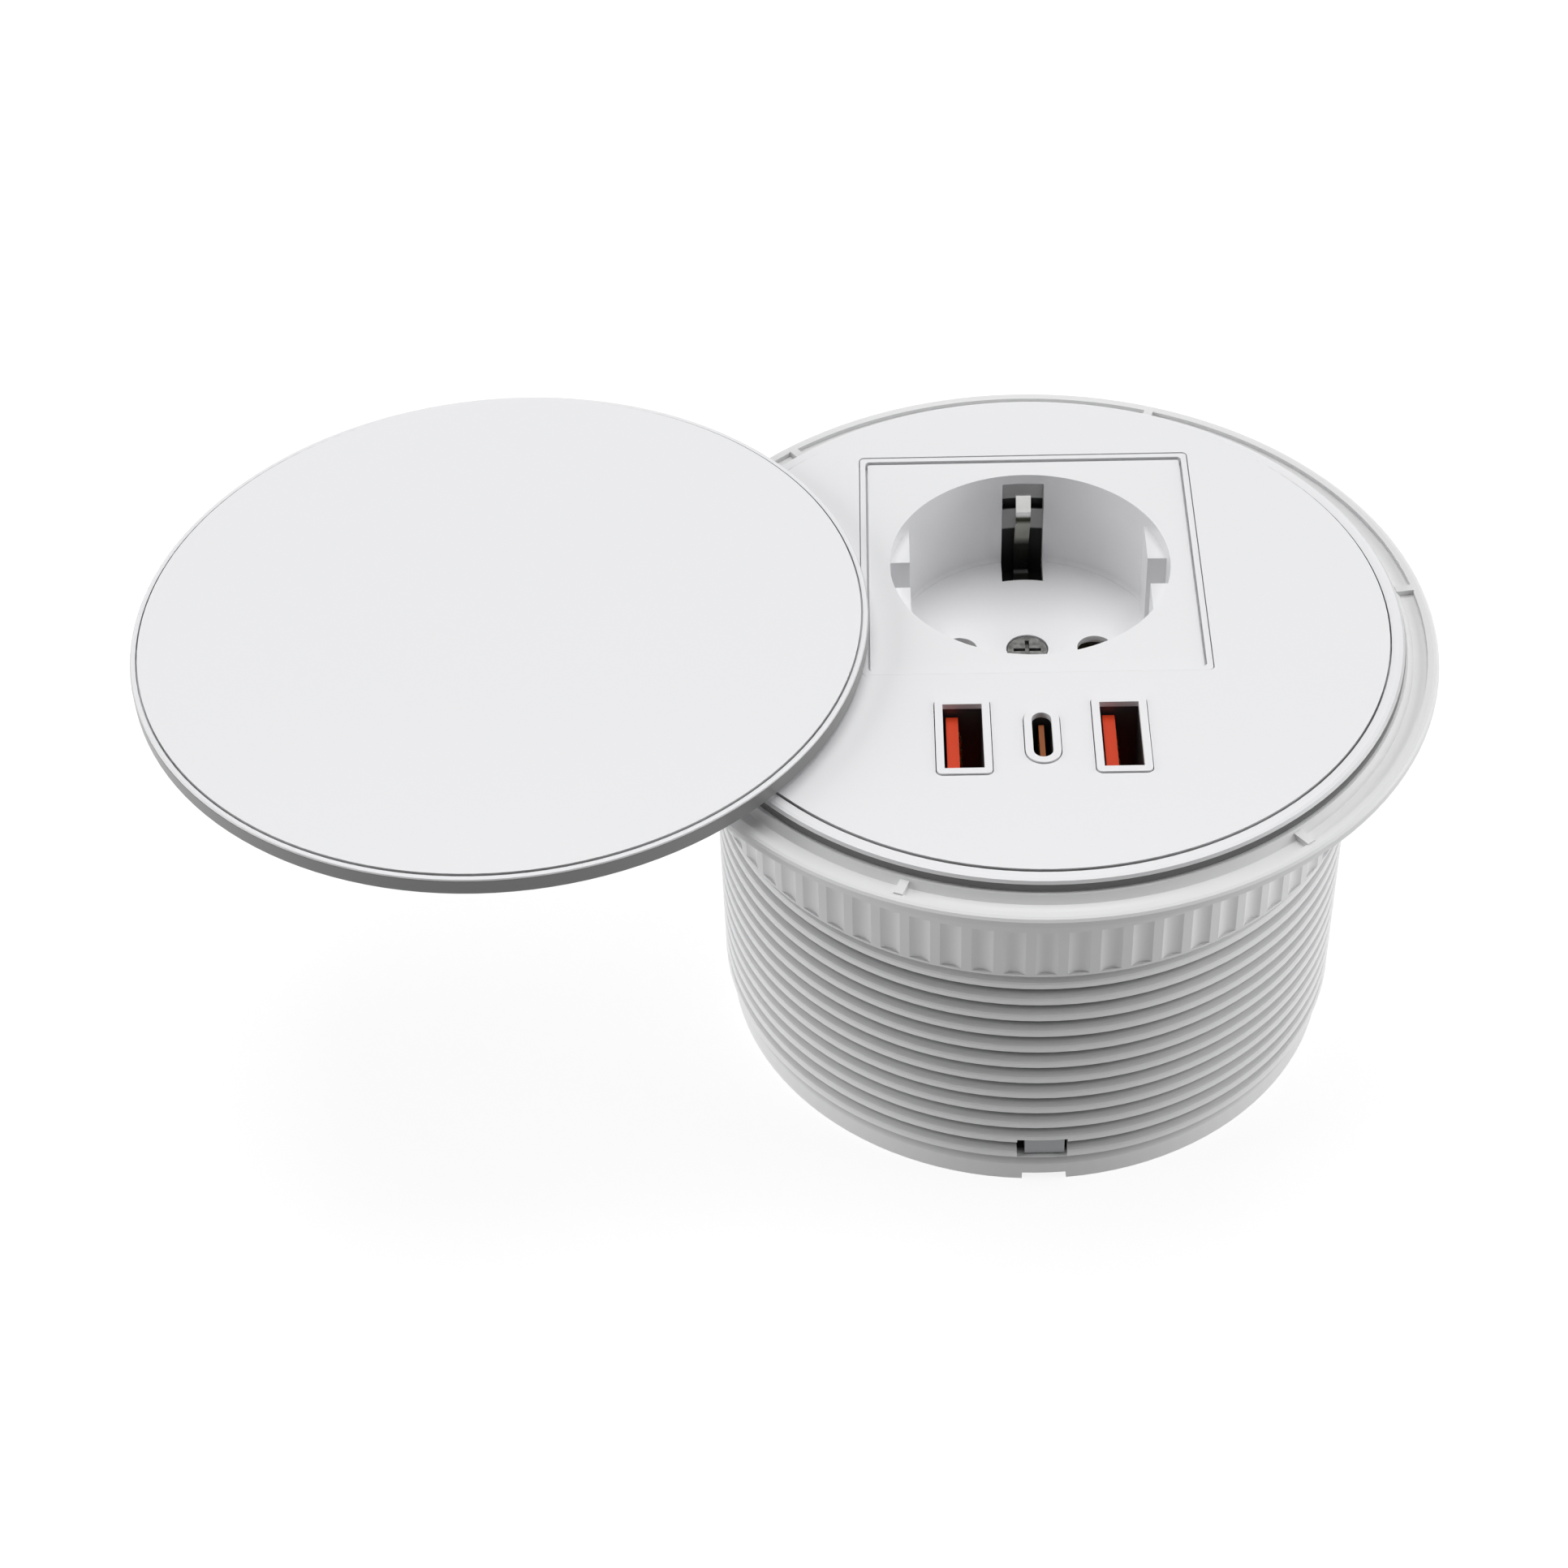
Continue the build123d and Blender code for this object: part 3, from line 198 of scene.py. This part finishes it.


# Head
# Bezel ring with web and spigot in one glossy moulding, its upright edge painted grey as shade.
# The flush face plate is pressed into it, and three screws from below hold it on the barrel's
# lugs.
def painted_edge_shade(material, grey):
    """Paints shade on a moulding's upright faces in grey, softly round the edge to its level
    faces.
    """
    tree = material.node_tree
    level = tree.nodes.new("ShaderNodeMath")
    level.operation = "ABSOLUTE"
    tree.links.new(split(tree, "Normal")["Z"], level.inputs[0])
    turn = tree.nodes.new("ShaderNodeMapRange")
    turn.interpolation_type = "SMOOTHSTEP"
    turn.inputs["From Min"].default_value = 0.25
    turn.inputs["From Max"].default_value = 1.0
    tree.links.new(level.outputs["Value"], turn.inputs["Value"])
    return painted_shade(material, grey, turn.outputs["Result"])


glossy = {"shade": 0.99, "roughness": 0.3, "grain": 0.0005, "depth": 0.000004}
head_white = (0.81, 0.81, 0.825)
gloss_abs = moulded("gloss_abs", head_white, **glossy)
head_edge_shaded_abs = moulded("head_edge_shaded_abs", head_white, **glossy)
dress(gloss_abs, "face_plate")
# Painted shade: grey on the bezel's upright edge
dress(painted_edge_shade(head_edge_shaded_abs, grey=0.11), "head_frame")

# Socket insert
# Square cover with the round well, moulded in glossy polycarbonate, inside a thin frame of the
# same white. Its well is moulded with flats, side keys and two slots for the earth clips.
well_low_z, well_floor_z, well_wall_z, insert_top_z = -0.0138, -0.0112, -0.0105, 0.0042
insert_tint = (0.89, 0.89, 0.89)
socket_abs = moulded("socket_abs", (0.91, 0.91, 0.925), **glossy)
banded(
    socket_abs, (well_low_z, untinted), (well_floor_z, untinted), (well_wall_z, insert_tint),
    (insert_top_z, insert_tint),
)
dress(gloss_abs, "insert_frame")
dress(socket_abs, "socket_cover")


# Steel screws
# Zinc-plated pan heads with a faintly cloudy plating. The screw in the well is duller, and its
# steel is painted dark as the shade on the well's floor, and mottled.
def plated(name, colour, roughness, streak, shade=0.8, clouds=700.0, metallic=1.0):
    """Plated or bare metal whose polish is a little uneven."""
    material = clouded(
        name, colour, shade, clouds, detail=4.0, smooth=roughness, dull=roughness + streak,
    )
    material.node_tree.nodes["Principled BSDF"].inputs["Metallic"].default_value = metallic
    return material


zinc = plated("zinc", (0.62, 0.62, 0.6), roughness=0.3, streak=0.2)
dress(zinc, "terminal_screws", "head_screws", "clamp_screws")
# Painted shade: darker steel for the screw down on the well's floor
well_shaded_steel = plated(
    "well_shaded_steel", (0.27, 0.27, 0.26), roughness=0.42, streak=0.25, shade=0.0, clouds=1500.0,
)
dress(well_shaded_steel, "centre_screw")

# Earth strap
# Nickel-plated spring steel, bent in one strip with a clip at each end that a plug slides past.
# The tips are bright; the dark olive band below them and the dark roots are painted shade.
strap_tint, root_shade_tint, shadow_tint = (0.7, 0.7, 0.68), (0.02, 0.02, 0.02), (0.08, 0.08, 0.07)
clip_tint, shoulder_tint, olive_shade = (0.85, 0.85, 0.78), (0.9, 0.9, 0.84), (0.06, 0.06, 0.035)
nickel = plated("nickel", (0.9, 0.9, 0.88), roughness=0.25, streak=0.08, metallic=0.6)
# Painted shade: dark olive band under the tips, near black towards the roots
banded(
    nickel, (-0.031, strap_tint), (-0.016, strap_tint), (-0.0145, root_shade_tint),
    (-0.0095, shadow_tint), (-0.0075, clip_tint), (-0.0038, shoulder_tint), (-0.0029, olive_shade),
    (-0.0021, olive_shade), (-0.0016, untinted), (0.0012, untinted),
)
dress(nickel, "earth_strap")

# Contacts
# Split brass sleeves with screw terminals, which hold a plug's pins.
brass = plated("brass", (0.78, 0.6, 0.28), roughness=0.28, streak=0.15)
dress(brass, "neutral_contact", "live_contact", "link_pins")

# Contact carrier
# Glass-filled moulding that holds the contacts and screws up against the head's web, black with a
# pale collar on top, both partly painted shade for the depth seen through the holes and slots.
# A groove in the collar's wall behind each earth clip is painted near black as shade.
carrier_low_z, body_top_z, collar_low_z, collar_top_z = -0.038, -0.0073, -0.0071, 0.0019
black_and_shade_tint = (0.01, 0.01, 0.01)
socket_y, collar_r, groove_r = 0.0126, 0.02155, 0.0218
carrier_nylon = moulded(
    "carrier_nylon", (0.68, 0.68, 0.68), shade=0.95, roughness=0.5, grain=0.0006, depth=0.00001,
)
# Partly painted shade: black body below, pale collar above
banded(
    carrier_nylon, (carrier_low_z, black_and_shade_tint), (body_top_z, black_and_shade_tint),
    (collar_low_z, untinted), (collar_top_z, untinted),
)
# Painted shade: near black in the grooves behind the earth clips
painted_depth_shade(carrier_nylon, grey=0.005, centre_y=socket_y, dark_r=groove_r, unshaded_r=collar_r)
dress(carrier_nylon, "socket_base")

# Charging ports
# White bezel with three raised collars, steel shells behind it, and moulded blades that carry the
# contacts: red in the two wide ports, copper brown in the oval one.
blade = {"roughness": 0.4, "grain": 0.0004, "depth": 0.000006, "specular": 0.12}
red_nylon = moulded("red_nylon", (0.85, 0.07, 0.02), shade=0.7, **blade)
brown_nylon = moulded("brown_nylon", (0.33, 0.1, 0.03), shade=0.85, **blade)
# Painted shade: the shells' steel is near black, for the shade inside the ports
port_shade_steel = plated("port_shade_steel", (0.1, 0.1, 0.105), roughness=0.4, streak=0.15)
dress(gloss_abs, "usb_bezel")
dress(port_shade_steel, "usb_a_shell_left", "usb_a_shell_right", "usb_c_shell")
dress(red_nylon, "usb_a_tongue_left", "usb_a_tongue_right")
dress(brown_nylon, "usb_c_tongue")


# Port contacts
# Gold-plated spring strips pressed from thin bronze, side by side on the open face of each wide
# blade and on both faces of the oval one, with their tips bent back into the plastic.
def ribbon(form, path, across):
    """Adds a strip along path, as wide as the vector across."""
    half = Vector(across) / 2
    first = form.verts.new(Vector(path[0]) - half)
    second = form.verts.new(Vector(path[0]) + half)
    edge = form.edges.new((first, second))
    for here, ahead in zip(path, path[1:]):
        grown = bmesh.ops.extrude_edge_only(form, edges=[edge])["geom"]
        tip = [item for item in grown if isinstance(item, bmesh.types.BMVert)]
        bmesh.ops.translate(form, verts=tip, vec=Vector(ahead) - Vector(here))
        edge = next(
            item for item in grown
            if isinstance(item, bmesh.types.BMEdge) and all(v in tip for v in item.verts)
        )


def piece(name, form, material, body):
    """Makes a piece of that form, which rides on the body."""
    crease = math.radians(32)
    bmesh.ops.recalc_face_normals(form, faces=form.faces)
    mesh = bpy.data.meshes.new(name)
    form.to_mesh(mesh)
    form.free()
    mesh.shade_smooth()
    mesh.set_sharp_from_angle(angle=crease)
    made = bpy.data.objects.new(name, mesh)
    bpy.context.collection.objects.link(made)
    mesh.materials.append(material)
    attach(made, body)
    return made


def thicken(made, thickness, round_off):
    """Gives a sheet its thickness, both ways from its middle, and rounds its edges."""
    solid = made.modifiers.new("thickness", "SOLIDIFY")
    solid.thickness = thickness
    solid.offset = 0.0
    edge = made.modifiers.new("edge", "BEVEL")
    edge.width = round_off
    edge.segments = 2


gold = plated("gold", (0.83, 0.62, 0.27), roughness=0.22, streak=0.12)
wide_face_x, wide_contact_w = 0.00052, 0.001
for side in ("left", "right"):
    low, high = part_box("usb_a_tongue_" + side)
    face_x = (low.x + high.x) / 2 - wide_face_x
    # How far each bend stands off the blade's face, and its height
    rise = (
        (-0.00006, low.z + 0.0031), (0.00008, low.z + 0.0034), (0.00008, high.z - 0.0042),
        (0.00034, high.z - 0.0027), (0.00034, high.z - 0.0021), (0.00005, high.z - 0.0009),
        (-0.00012, high.z - 0.0007),
    )
    fingers = bmesh.new()
    for place in (-0.0035, -0.0012, 0.0012, 0.0035):
        mid_y = (low.y + high.y) / 2 + place
        path = [(face_x + out, mid_y, z) for out, z in rise]
        ribbon(fingers, path, (0, wide_contact_w, 0))
    strip = piece("port_contacts_" + side, fingers, gold, "housing")
    thicken(strip, thickness=0.00014, round_off=0.00004)
oval_face_x, oval_contact_w, oval_pitch, oval_contacts = 0.00035, 0.00028, 0.0006, 9
low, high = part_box("usb_c_tongue")
rise = (
    (-0.00003, low.z + 0.0031), (0.00003, low.z + 0.0034), (0.00003, high.z - 0.0009),
    (-0.00005, high.z - 0.0006),
)
fingers = bmesh.new()
for face in (-1, 1):
    face_x = (low.x + high.x) / 2 + face * oval_face_x
    for index in range(oval_contacts):
        mid_y = (low.y + high.y) / 2 + (index - (oval_contacts - 1) / 2) * oval_pitch
        path = [(face_x + face * out, mid_y, z) for out, z in rise]
        ribbon(fingers, path, (0, oval_contact_w, 0))
strip = piece("port_contacts_middle", fingers, gold, "housing")
thicken(strip, thickness=0.00008, round_off=0.00002)

# Boards
# Glass-cloth boards under green solder mask, with a ferrite transformer and sleeved capacitors.
mask_green = moulded(
    "mask_green", (0.02, 0.14, 0.06), shade=0.75, roughness=0.3, grain=0.0006, depth=0.00001,
)
ferrite = moulded(
    "ferrite", (0.05, 0.05, 0.055), shade=0.8, roughness=0.7, grain=0.0005, depth=0.00002,
)
sleeve = moulded(
    "sleeve", (0.015, 0.025, 0.06), shade=0.8, roughness=0.3, grain=0.002, depth=0.00001,
)
dress(mask_green, "port_board", "power_board")
dress(ferrite, "transformer")
dress(sleeve, "mains_capacitor", "output_capacitors")

# Capacitor ends
# Pressed aluminium discs that close the cans, sunk a little inside a rolled edge.
disc_share, rolled_share, disc_out, disc_sunk = 0.84, 0.09, 0.0001, 0.00006
aluminium = plated("aluminium", (0.75, 0.75, 0.76), roughness=0.32, streak=0.15)
mains_low, mains_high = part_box("mains_capacitor")
output_low, output_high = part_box("output_capacitors")
mains_r = (mains_high.x - mains_low.x) / 2
output_r = (output_high.x - output_low.x) / 2
ends = bmesh.new()
for end_x, end_y, end_z, radius in (
    (mains_low.x + mains_r, mains_low.y, mains_low.z + mains_r, mains_r),
    (output_low.x + output_r, output_low.y, output_low.z + output_r, output_r),
    (output_low.x + output_r, output_low.y, output_high.z - output_r, output_r),
):
    end_place = Matrix.Translation((end_x, end_y - disc_out, end_z))
    disc = bmesh.ops.create_circle(
        ends, cap_ends=True, segments=40, radius=radius * disc_share,
        matrix=end_place @ Matrix.Rotation(math.pi / 2, 4, "X"),
    )
    face = disc["verts"][0].link_faces[0]
    bmesh.ops.inset_region(ends, faces=[face], thickness=radius * rolled_share, depth=0.0)
    bmesh.ops.translate(ends, verts=face.verts, vec=(0, disc_sunk, 0))
discs = piece("capacitor_ends", ends, aluminium, "housing")
thicken(discs, thickness=0.00006, round_off=0.00002)

# Transformer winding
# Enamelled copper wire laid in close turns round the slim leg of the ferrite, below and above its
# wide core. Yellow polyester tape covers the upper turns.
leg_half_w, leg_front = 0.004, 0.0115
leg_back, leg_corner, leg_chamfer = 0.0004, 0.0008, 0.0002
low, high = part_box("transformer")


def leg_path(out, z):
    """Path round the three free sides of the slim leg, out metres off its faces."""
    left = (low.x + high.x) / 2 - leg_half_w - out
    right = (low.x + high.x) / 2 + leg_half_w + out
    front = high.y - leg_front - out
    return [
        (left, high.y - leg_back, z), (left, front + leg_corner, z),
        (left + leg_chamfer, front + leg_chamfer, z), (left + leg_corner, front, z),
        (right - leg_corner, front, z), (right - leg_chamfer, front + leg_chamfer, z),
        (right, front + leg_corner, z), (right, high.y - leg_back, z),
    ]


copper = plated("copper", (0.72, 0.34, 0.18), roughness=0.3, streak=0.12)
wire_out, wire_w, wire_pitch, wire_turns = 0.00022, 0.00034, 0.00042, 10
lower_start, upper_start = low.z + 0.0006, high.z - 0.0044
turns = bmesh.new()
for index in range(wire_turns):
    for start_z in (lower_start, upper_start):
        ribbon(turns, leg_path(wire_out, start_z + index * wire_pitch), (0, 0, wire_w))
coil = piece("winding", turns, copper, "housing")
thicken(coil, thickness=0.0003, round_off=0.00012)
tape_out, tape_w, tape_middle = 0.0005, 0.0044, 0.0025
tape = moulded(
    "tape", (0.78, 0.55, 0.06), shade=0.95, roughness=0.28, grain=0.0012, depth=0.000004,
)
band = bmesh.new()
ribbon(band, leg_path(tape_out, high.z - tape_middle), (0, 0, tape_w))
wrap = piece("winding_tape", band, tape, "housing")
thicken(wrap, thickness=0.0001, round_off=0.00003)

# Chips
# Charge controllers in black epoxy with tinned gull-wing legs: one hangs under the port board and
# one stands on the power board, above the transformer.
epoxy = moulded(
    "epoxy", (0.018, 0.018, 0.02), shade=0.85, roughness=0.45, grain=0.0003, depth=0.00001,
)
tin = plated("tin", (0.7, 0.7, 0.69), roughness=0.3, streak=0.12)
chip_size, chip_middle_z, chip_edge = (0.005, 0.004, 0.0014), 0.00085, 0.0002
dot_place, dot_r = (-0.0018, -0.0013, 0.00157), 0.0003
leg_w, leg_pitch, legs_a_side = 0.0004, 0.00127, 4
# How far each bend is from the chip's middle line, and its height over the board
leg_bends = (
    (0.0019, 0.0009), (0.0023, 0.0009), (0.0025, 0.00075), (0.00255, 0.0002), (0.0027, 0.0001),
    (0.0031, 0.0001),
)


def chip(name, lay):
    """Eight-legged chip whose board side is laid down by the matrix lay."""
    body = bmesh.new()
    block = Matrix.Translation((0, 0, chip_middle_z)) @ Matrix.Diagonal((*chip_size, 1.0))
    bmesh.ops.create_cube(body, size=1.0, matrix=block)
    bmesh.ops.bevel(
        body, geom=body.edges[:], affect="EDGES", offset=chip_edge, segments=2, profile=0.5,
        material=-1,
    )
    bmesh.ops.create_circle(
        body, cap_ends=True, segments=16, radius=dot_r, matrix=Matrix.Translation(dot_place),
    )
    bmesh.ops.transform(body, verts=body.verts, matrix=lay)
    piece(name, body, epoxy, "housing")
    legs = bmesh.new()
    for index in range(legs_a_side):
        place = (index - (legs_a_side - 1) / 2) * leg_pitch
        for side in (-1, 1):
            ribbon(legs, [(place, side * out, z) for out, z in leg_bends], (leg_w, 0, 0))
    bmesh.ops.transform(legs, verts=legs.verts, matrix=lay)
    tinned = piece(name + "_legs", legs, tin, "housing")
    thicken(tinned, thickness=0.00015, round_off=0.00004)


port_chip_left, port_chip_back = 0.009, 0.0075
low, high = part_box("port_board")
under = Matrix.Translation(
    ((low.x + high.x) / 2 - port_chip_left, low.y + port_chip_back, low.z)
)
chip("port_chip", under @ Matrix.Rotation(math.pi, 4, "X"))
power_chip_left, power_chip_down = 0.004, 0.0045
low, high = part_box("power_board")
upright = Matrix.Translation(
    ((low.x + high.x) / 2 - power_chip_left, low.y, high.z - power_chip_down)
)
chip("power_chip", upright @ Matrix.Rotation(math.pi / 2, 4, "X"))

# Swivel cover
# Round shell with a softly rounded edge and a flush inlay plate, both in the head's glossy white.
# The shell's upright edge is painted grey as shade, a little lighter than the head's.
cover_edge_shaded_abs = moulded("cover_edge_shaded_abs", head_white, **glossy)
dress(painted_edge_shade(cover_edge_shaded_abs, grey=0.2), "cover_shell")
dress(gloss_abs, "cover_plate")

# Pivot
# Steel pin through the cover, held down by a spring washer and a locking nut, and turning in an
# acetal bush and washer.
acetal = moulded(
    "acetal", (0.68, 0.68, 0.66), shade=0.97, roughness=0.5, grain=0.0006, depth=0.000006,
)
dress(zinc, "pivot_pin", "spring_washer", "pivot_nut")
dress(acetal, "pivot_washer", "pivot_bush")

# Bottom cap
# Grey moulding with three snap hooks that show in the barrel's windows, a rubber grommet for the
# cord and a clamp inside.
grey_abs = moulded(
    "grey_abs", (0.42, 0.43, 0.44), shade=0.95, roughness=0.45, grain=0.0004, depth=0.00001,
)
black_rubber = moulded(
    "black_rubber", (0.02, 0.02, 0.02), shade=0.8, roughness=0.7, grain=0.0006, depth=0.00001,
)
dress(grey_abs, "bottom_cap", "cord_clamp")
dress(black_rubber, "inlet_grommet")


# Table and backdrop
# A pale floor that the barrel's foot stands on. To the lens and in mirrors it is near white with a
# soft shadow, and it throws an even light up on the walls. From below it is clear.
def lens_level(tree, unseen, shown):
    """Strength that is shown to the lens, mirrors and glass, and unseen for all other light."""
    path = tree.nodes.new("ShaderNodeLightPath")
    total = tree.nodes.new("ShaderNodeMath")
    total.operation = "ADD"
    tree.links.new(path.outputs["Is Camera Ray"], total.inputs[0])
    tree.links.new(path.outputs["Is Glossy Ray"], total.inputs[1])
    level = tree.nodes.new("ShaderNodeMath")
    level.operation = "ADD"
    tree.links.new(total.outputs["Value"], level.inputs[0])
    tree.links.new(path.outputs["Is Transmission Ray"], level.inputs[1])
    strength = tree.nodes.new("ShaderNodeMapRange")
    strength.inputs["To Min"].default_value = unseen
    strength.inputs["To Max"].default_value = shown
    tree.links.new(level.outputs["Value"], strength.inputs["Value"])
    return strength.outputs["Result"]


floor_half, floor_aside, floor_under = 4.0, 0.9, 0.00002
foot_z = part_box("housing_barrel")[0].z
floor_form = bmesh.new()
bmesh.ops.create_grid(floor_form, x_segments=1, y_segments=1, size=floor_half)
bmesh.ops.translate(
    floor_form, verts=floor_form.verts, vec=(floor_aside, 0, foot_z - floor_under),
)
floor_mesh = bpy.data.meshes.new("floor")
floor_form.to_mesh(floor_mesh)
floor_form.free()
floor = bpy.data.objects.new("floor", floor_mesh)
bpy.context.collection.objects.link(floor)
paper = bpy.data.materials.new("paper")
paper.use_nodes = True
tree = paper.node_tree
glow = tree.nodes.new("ShaderNodeEmission")
glow.inputs["Color"].default_value = (1.0, 1.0, 1.0, 1.0)
tree.links.new(lens_level(tree, unseen=0.444, shown=0.85), glow.inputs["Strength"])
matt = tree.nodes.new("ShaderNodeBsdfDiffuse")
matt.inputs["Color"].default_value = (0.25, 0.25, 0.25, 1.0)
blend = tree.nodes.new("ShaderNodeAddShader")
tree.links.new(glow.outputs["Emission"], blend.inputs[0])
tree.links.new(matt.outputs["BSDF"], blend.inputs[1])
below = tree.nodes.new("ShaderNodeNewGeometry")
clear = tree.nodes.new("ShaderNodeBsdfTransparent")
sheet = tree.nodes.new("ShaderNodeMixShader")
tree.links.new(below.outputs["Backfacing"], sheet.inputs["Fac"])
tree.links.new(blend.outputs["Shader"], sheet.inputs[1])
tree.links.new(clear.outputs["BSDF"], sheet.inputs[2])
tree.links.new(sheet.outputs["Shader"], tree.nodes["Material Output"].inputs["Surface"])
floor.data.materials.append(paper)


# Light
# A large soft lamp above and behind, one at each side, and a dim pale room, so the tops are
# bright and the walls facing the lens fall off.
def soft_lamp(name, place, aim, size, watts):
    """Square soft lamp at place, facing aim."""
    lamp = bpy.data.lights.new(name, "AREA")
    lamp.shape = "SQUARE"
    lamp.size = size
    lamp.energy = watts
    holder = bpy.data.objects.new(name, lamp)
    holder.location = place
    holder.rotation_euler = (Vector(aim) - Vector(place)).to_track_quat("-Z", "Y").to_euler()
    bpy.context.collection.objects.link(holder)


soft_lamp("lamp_top", place=(0.0, 0.35, 1.1), aim=(0.0, 0.0, 0.0), size=1.0, watts=10.6)
soft_lamp("lamp_left", place=(-1.1, 0.0, 0.35), aim=(0.0, 0.0, -0.03), size=0.8, watts=8.1)
soft_lamp("lamp_right", place=(1.1, 0.0, 0.35), aim=(0.0, 0.0, -0.03), size=0.8, watts=8.1)
room = bpy.data.worlds.new("room")
room.use_nodes = True
tree = room.node_tree
backdrop = tree.nodes["Background"]
backdrop.inputs["Color"].default_value = (1.0, 1.0, 1.0, 1.0)
tree.links.new(lens_level(tree, unseen=0.034, shown=1.0), backdrop.inputs["Strength"])
bpy.context.scene.world = room
bpy.context.scene.view_settings.view_transform = "Standard"

# Camera
# It stands in front of the ports and looks down at 43.6 degrees, with a slight roll.
lens_place = (-0.0216, -0.3251, 0.2846)
right = Vector((0.99949, 0.0101, -0.031))
ahead = Vector((-0.0287, 0.7237, -0.6895))
ahead.normalize()
upward = right.cross(ahead).normalized()
right = ahead.cross(upward)
lens = bpy.data.cameras.new("camera")
lens.lens = 73.22
lens.sensor_width = 36.0
lens.clip_start = 0.01
lens.clip_end = 20.0
camera = bpy.data.objects.new("camera", lens)
turned = Matrix((right, upward, -ahead)).transposed().to_4x4()
camera.matrix_world = Matrix.Translation(lens_place) @ turned
bpy.context.collection.objects.link(camera)
bpy.context.scene.camera = camera
